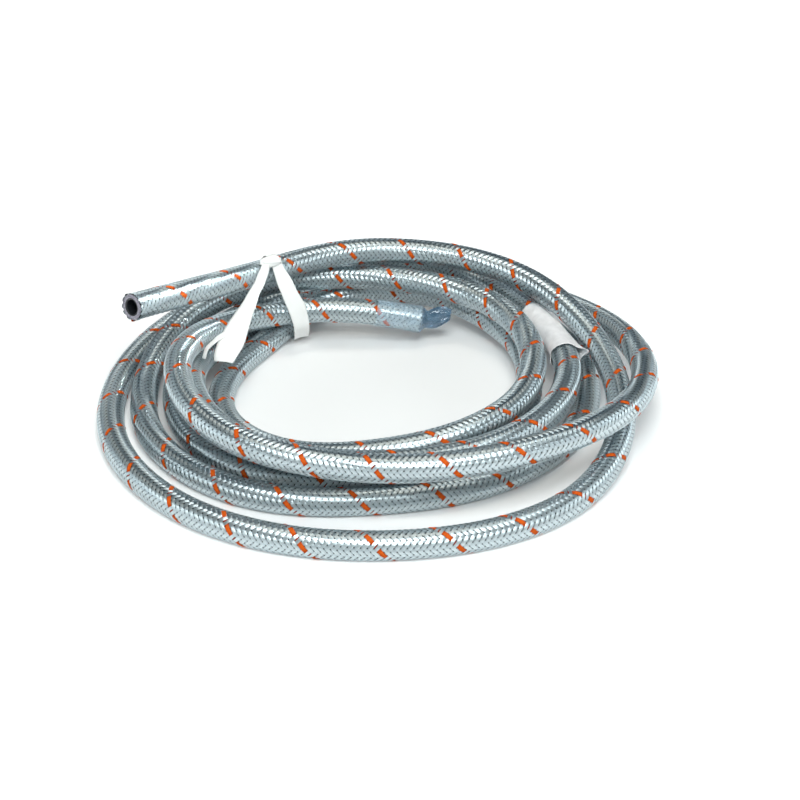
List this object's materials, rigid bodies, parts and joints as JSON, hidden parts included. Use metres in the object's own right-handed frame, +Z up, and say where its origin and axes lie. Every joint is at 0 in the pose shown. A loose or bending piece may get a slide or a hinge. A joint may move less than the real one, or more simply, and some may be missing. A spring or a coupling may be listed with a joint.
{
  "type": "propane regulator hose",
  "caption": "Length of rubber gas hose with a woven steel braid, wound in a loose flat coil and tied with ribbon, for the gas supply of a caravan.",
  "frame": {"origin": "middle of the coil's footprint on the floor", "axes": "+Z up out of the flat coil; +Y towards the side where the upper free end leaves the bundle; +X to the right of that side, seen from the front"},
  "size_m": [0.3026, 0.2988, 0.0705],
  "materials": {
    "steel_braid": "woven bright steel wire with one orange tracer strand",
    "tube_rubber": "matt black rubber",
    "paper": "blank white paper",
    "clear_film": "clear thin film",
    "ribbon": "soft white woven ribbon"
  },
  "bodies": {
    "root": {"braid_coil": "steel_braid", "tube_coil": "tube_rubber", "braid_tail": "steel_braid", "tube_tail": "tube_rubber", "paper_label": "paper", "end_film": "clear_film", "tie_ribbon": "ribbon"}
  },
  "joints": []
}
